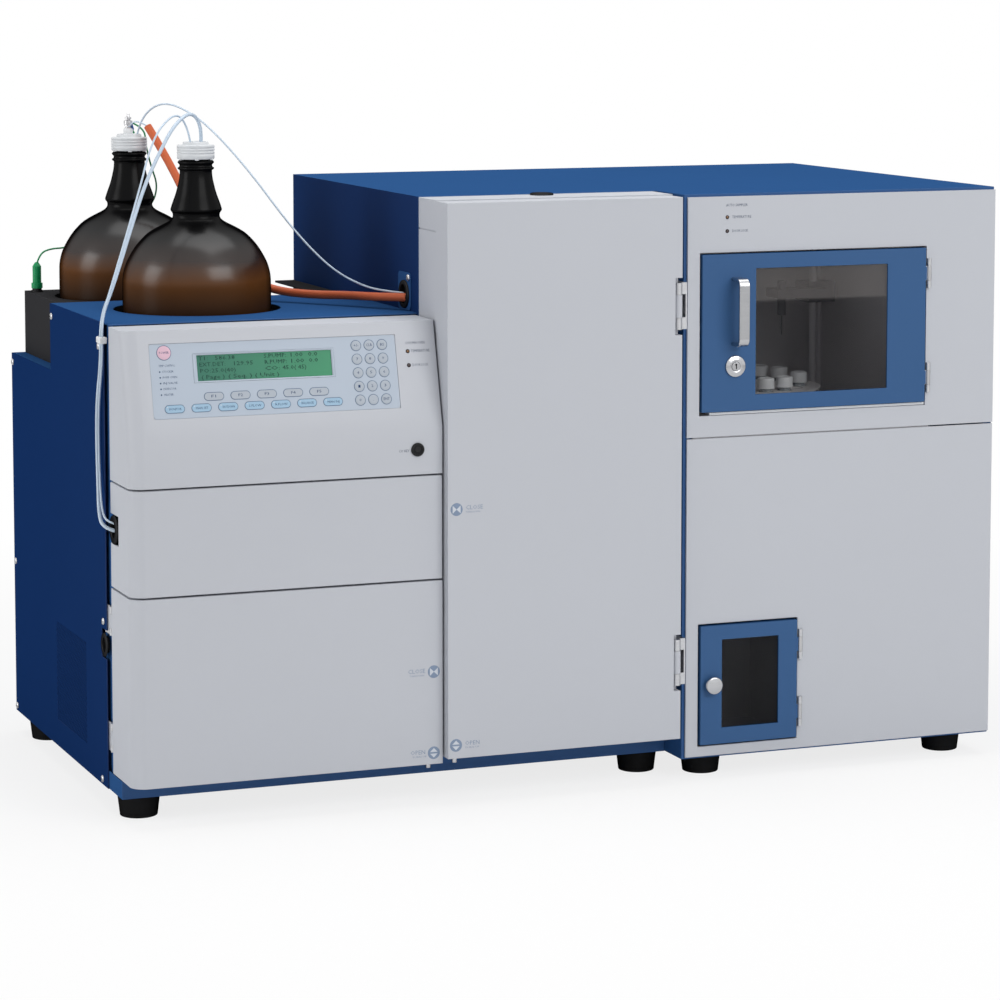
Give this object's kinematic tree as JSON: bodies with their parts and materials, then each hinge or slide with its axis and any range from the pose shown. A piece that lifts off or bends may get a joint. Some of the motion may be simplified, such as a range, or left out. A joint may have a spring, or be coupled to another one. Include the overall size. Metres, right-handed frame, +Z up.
{
  "type": "gel permeation chromatograph",
  "caption": "Bench gel permeation chromatograph: pump module with keypad, display and solvent bottles, a column oven and an auto sampler with windowed doors.",
  "frame": {"origin": "centre of the bounding box's underside, on the bench between the feet", "axes": "+X runs to the right along the front, +Y runs from the front to the back, +Z up; the front faces -Y"},
  "size_m": [1.0203, 0.55, 0.7437],
  "materials": {
    "panel_grey": "satin textured",
    "painted_grey": "satin",
    "blue_paint": "fine textured satin",
    "blue_moulding": "satin textured",
    "black_plastic": "matt",
    "rubber": "matt",
    "film": "satin film",
    "display": "clear",
    "steel": "brushed",
    "bright_steel": "polished",
    "chamber_steel": "satin",
    "smoked_window": "clear tinted",
    "insulation": "fibrous",
    "white_plastic": "satin",
    "clear_bottle": "clear",
    "amber_glass": "dark tinted",
    "silicone": "satin",
    "green_plastic": "satin",
    "lamp": "clear",
    "circuit": "matt"
  },
  "bodies": {
    "cabinet": {"base_pan": "blue_paint", "left_side_panel": "blue_paint", "left_top_cover": "blue_paint", "left_frame": "blue_paint", "rear_panels": "blue_paint", "bottle_well": "black_plastic", "rear_bottle_tray": "black_plastic", "control_hood": "panel_grey", "keypad_overlay": "film", "display_module": "display", "mid_cover": "panel_grey", "panel_sockets": "black_plastic", "tube_guides": "rubber", "indicator_lamps": "lamp", "door_hinges": "steel", "oven_casing": "blue_paint", "join_ledge": "black_plastic", "access_plate": "blue_paint", "oven_bezel": "panel_grey", "oven_liner": "chamber_steel", "oven_insulation": "insulation", "oven_blower": "steel", "separation_columns": "bright_steel", "detector": "painted_grey", "sampler_casing": "blue_paint", "upper_front_panel": "panel_grey", "lower_front_panel": "panel_grey", "sampler_chamber": "chamber_steel", "small_chamber": "chamber_steel", "pump_unit": "painted_grey", "electronics": "circuit", "feet": "rubber", "casing_screws": "steel", "solvent_bottles": "amber_glass", "bottle_caps": "white_plastic", "ground_plug": "green_plastic", "solvent_tube": "white_plastic", "sample_tube": "white_plastic", "vent_tube": "white_plastic", "silicone_hose": "silicone", "ground_wire": "green_plastic"},
    "pump_door": {"pump_door": "panel_grey"},
    "pump_latch": {"pump_latch_pin": "bright_steel"},
    "oven_door": {"oven_door": "painted_grey", "oven_door_core": "insulation", "oven_door_seal": "rubber"},
    "oven_latch": {"oven_latch_pin": "bright_steel"},
    "oven_fan": {"oven_fan_wheel": "steel"},
    "sampler_door": {"sampler_door": "blue_moulding", "sampler_window": "smoked_window", "sampler_handle": "bright_steel", "sampler_lock": "bright_steel"},
    "sampler_lock_plug": {"lock_plug": "bright_steel"},
    "vial_carousel": {"carousel": "steel", "sample_vials": "clear_bottle"},
    "needle": {"needle_arm": "steel"},
    "small_door": {"small_door": "blue_moulding", "small_window": "smoked_window", "small_knob": "bright_steel"},
    "rocker": {"power_rocker": "black_plastic"}
  },
  "joints": [
    {"name": "pump_door_hinge", "type": "hinge", "parent": "cabinet", "child": "pump_door", "pos_m": [-0.4982, -0.1645, 0.145], "axis": [0, 0, -1], "range_deg": [0, 110]},
    {"name": "pump_latch_press", "type": "slide", "parent": "pump_door", "child": "pump_latch", "axis": [0, 0, 1], "range_m": [0, 0.004], "stiffness_N_per_m": 300, "springref_m": -0.002},
    {"name": "oven_door_hinge", "type": "hinge", "parent": "cabinet", "child": "oven_door", "pos_m": [0.1135, -0.258, 0.35], "axis": [0, 0, 1], "range_deg": [0, 110]},
    {"name": "oven_latch_press", "type": "slide", "parent": "oven_door", "child": "oven_latch", "axis": [0, 0, 1], "range_m": [0, 0.004], "stiffness_N_per_m": 300, "springref_m": -0.002},
    {"name": "fan_spin", "type": "hinge", "parent": "cabinet", "child": "oven_fan", "pos_m": [-0.0178, 0.1195, 0.35], "axis": [0, 1, 0], "continuous": true},
    {"name": "sampler_door_hinge", "type": "hinge", "parent": "cabinet", "child": "sampler_door", "pos_m": [0.4237, -0.2526, 0.495], "axis": [0, 0, 1], "range_deg": [0, 110]},
    {"name": "lock_turn", "type": "hinge", "parent": "sampler_door", "child": "sampler_lock_plug", "pos_m": [0.1846, -0.2505, 0.4605], "axis": [0, -1, 0], "range_deg": [0, 90]},
    {"name": "carousel_turn", "type": "hinge", "parent": "cabinet", "child": "vial_carousel", "pos_m": [0.2757, -0.0745, 0.4], "axis": [0, 0, 1], "continuous": true},
    {"name": "needle_lift", "type": "slide", "parent": "cabinet", "child": "needle", "axis": [0, 0, 1], "range_m": [-0.036, 0]},
    {"name": "small_door_hinge", "type": "hinge", "parent": "cabinet", "child": "small_door", "pos_m": [0.267, -0.2526, 0.106], "axis": [0, 0, 1], "range_deg": [0, 110]},
    {"name": "rocker_tilt", "type": "hinge", "parent": "cabinet", "child": "rocker", "pos_m": [-0.4083, 0.266, 0.112], "axis": [1, 0, 0], "range_deg": [-8, 8]}
  ]
}
